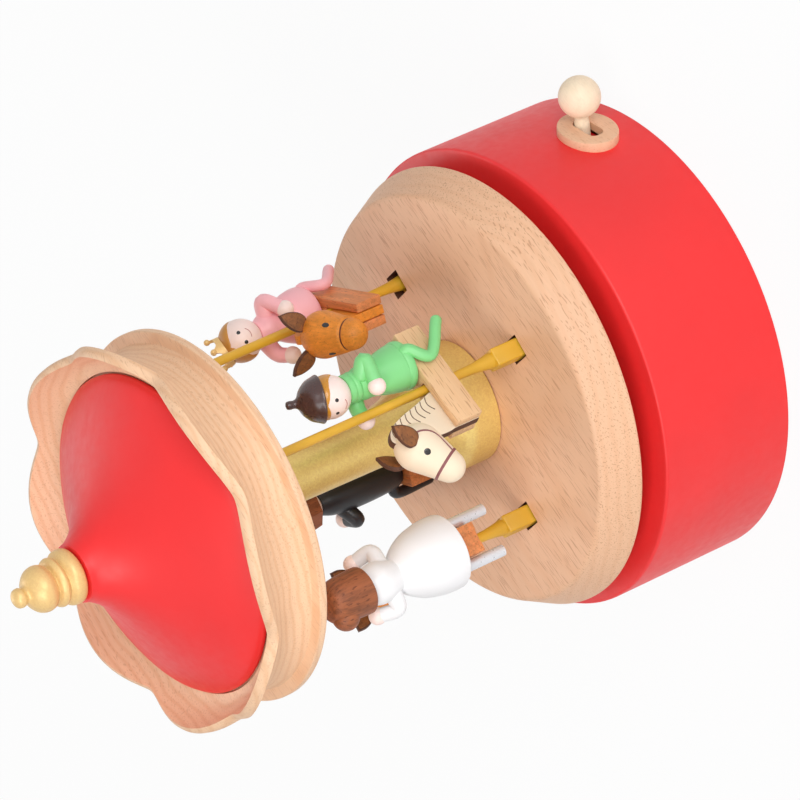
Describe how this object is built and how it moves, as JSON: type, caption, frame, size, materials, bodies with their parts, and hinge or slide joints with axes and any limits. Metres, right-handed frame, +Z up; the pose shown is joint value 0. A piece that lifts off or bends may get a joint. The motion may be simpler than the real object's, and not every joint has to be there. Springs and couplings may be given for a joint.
{
  "type": "carousel music box",
  "caption": "Wind-up wooden carousel music box: round drum with a stop lever, turning disc, central column, scalloped canopy, and riders on horses that rise and fall on poles.",
  "frame": {"origin": "middle of the drum's underside, on the plane it stands on", "axes": "+Z up along the turntable's axis, -Y the front, the stop lever between -Y and +X"},
  "size_m": [0.1429, 0.142, 0.223],
  "materials": {
    "red_paint": "satin red paint on turned wood",
    "beech": "clear satin lacquer on beech",
    "pale_wood": "smooth pale wood",
    "gold_paint": "gold metallic paint on turned wood",
    "ochre_paint": "ochre gold paint on turned wood",
    "mahogany": "reddish brown stained wood",
    "walnut": "dark brown wood, satin",
    "cream_paint": "cream paint on wood",
    "skin_paint": "pale skin-coloured paint on wood",
    "pink_paint": "pink paint on wood",
    "green_paint": "light green paint on wood",
    "white_paint": "white paint on wood",
    "black_paint": "black paint on wood",
    "brown_paint": "dark brown paint on wood",
    "silver_paint": "silver glitter paint on wood",
    "steel": "spring and shaft steel",
    "brass": "plain brass",
    "plywood": "bare board"
  },
  "bodies": {
    "base": {"base_drum": "red_paint", "bottom_plate": "plywood", "cam_shelf": "plywood", "cam_ring": "beech", "movement_bedplate": "brass", "comb": "steel", "lever_escutcheon": "beech"},
    "turntable": {"turntable_disc": "beech", "turntable_spindle": "steel", "drive_gear": "brass", "column": "gold_paint", "canopy_crown": "beech", "roof_cone": "red_paint", "finial": "gold_paint"},
    "lever": {"stop_lever": "pale_wood"},
    "key": {"winding_key": "brass"},
    "barrel": {"spring_barrel": "brass", "mainspring": "steel"},
    "cylinder": {"pinned_cylinder": "brass"},
    "air_brake": {"governor": "steel"},
    "boy_carrier": {"boy_pole": "ochre_paint", "boy_saddle": "beech", "boy_horse_neck": "cream_paint", "boy_horse_head": "cream_paint", "boy_body": "green_paint", "boy_head": "skin_paint", "boy_arm_left": "green_paint", "boy_arm_right": "green_paint", "boy_hat": "brown_paint"},
    "princess_carrier": {"princess_pole": "ochre_paint", "princess_saddle": "mahogany", "princess_horse_neck": "mahogany", "princess_horse_head": "mahogany", "princess_body": "pink_paint", "princess_head": "skin_paint", "princess_arm_left": "pink_paint", "princess_arm_right": "pink_paint", "princess_crown": "gold_paint"},
    "groom_carrier": {"groom_pole": "ochre_paint", "groom_saddle": "mahogany", "groom_horse_neck": "mahogany", "groom_horse_head": "mahogany", "groom_body": "black_paint", "groom_head": "skin_paint", "groom_arm_left": "black_paint", "groom_arm_right": "black_paint", "groom_hair": "walnut"},
    "bride_carrier": {"bride_pole": "ochre_paint", "bride_saddle": "mahogany", "bride_horse_neck": "mahogany", "bride_horse_head": "mahogany", "bride_body": "white_paint", "bride_head": "skin_paint", "bride_arm_left": "white_paint", "bride_arm_right": "white_paint", "bride_hair": "walnut", "bride_hair_bun": "walnut", "bride_leg_left": "silver_paint", "bride_leg_right": "silver_paint"}
  },
  "joints": [
    {"name": "turntable_spin", "type": "hinge", "parent": "base", "child": "turntable", "pos_m": [0, 0, 0.0525], "axis": [0, 0, 1], "continuous": true},
    {"name": "lever_swing", "type": "hinge", "parent": "base", "child": "lever", "pos_m": [0.04012, -0.03308, 0.016], "axis": [0, 0, 1], "range_deg": [-14, 0]},
    {"name": "key_turn", "type": "hinge", "parent": "base", "child": "key", "pos_m": [-0.0192, 0, 0.005], "axis": [0, 0, 1], "continuous": true},
    {"name": "barrel_spin", "type": "hinge", "parent": "base", "child": "barrel", "pos_m": [-0.0192, 0, 0.02], "axis": [0, 0, 1], "continuous": true},
    {"name": "cylinder_spin", "type": "hinge", "parent": "base", "child": "cylinder", "pos_m": [0, 0, 0.0201], "axis": [1, 0, 0], "continuous": true},
    {"name": "governor_spin", "type": "hinge", "parent": "base", "child": "air_brake", "pos_m": [0.0185, -0.007, 0.02], "axis": [0, 0, 1], "continuous": true},
    {"name": "boy_slide", "type": "slide", "parent": "turntable", "child": "boy_carrier", "axis": [0, 0, 1], "range_m": [-0.0115, 0]},
    {"name": "princess_slide", "type": "slide", "parent": "turntable", "child": "princess_carrier", "axis": [0, 0, 1], "range_m": [0, 0.0115]},
    {"name": "groom_slide", "type": "slide", "parent": "turntable", "child": "groom_carrier", "axis": [0, 0, 1], "range_m": [0, 0.0115]},
    {"name": "bride_slide", "type": "slide", "parent": "turntable", "child": "bride_carrier", "axis": [0, 0, 1], "range_m": [-0.0115, 0]}
  ],
  "couplings": [
    {"joint": "barrel_spin", "follows": "turntable_spin", "ratio": -1},
    {"joint": "cylinder_spin", "follows": "turntable_spin", "ratio": 2},
    {"joint": "governor_spin", "follows": "turntable_spin", "ratio": 24},
    {"joint": "groom_slide", "follows": "boy_slide", "ratio": -1},
    {"joint": "princess_slide", "follows": "bride_slide", "ratio": -1}
  ]
}
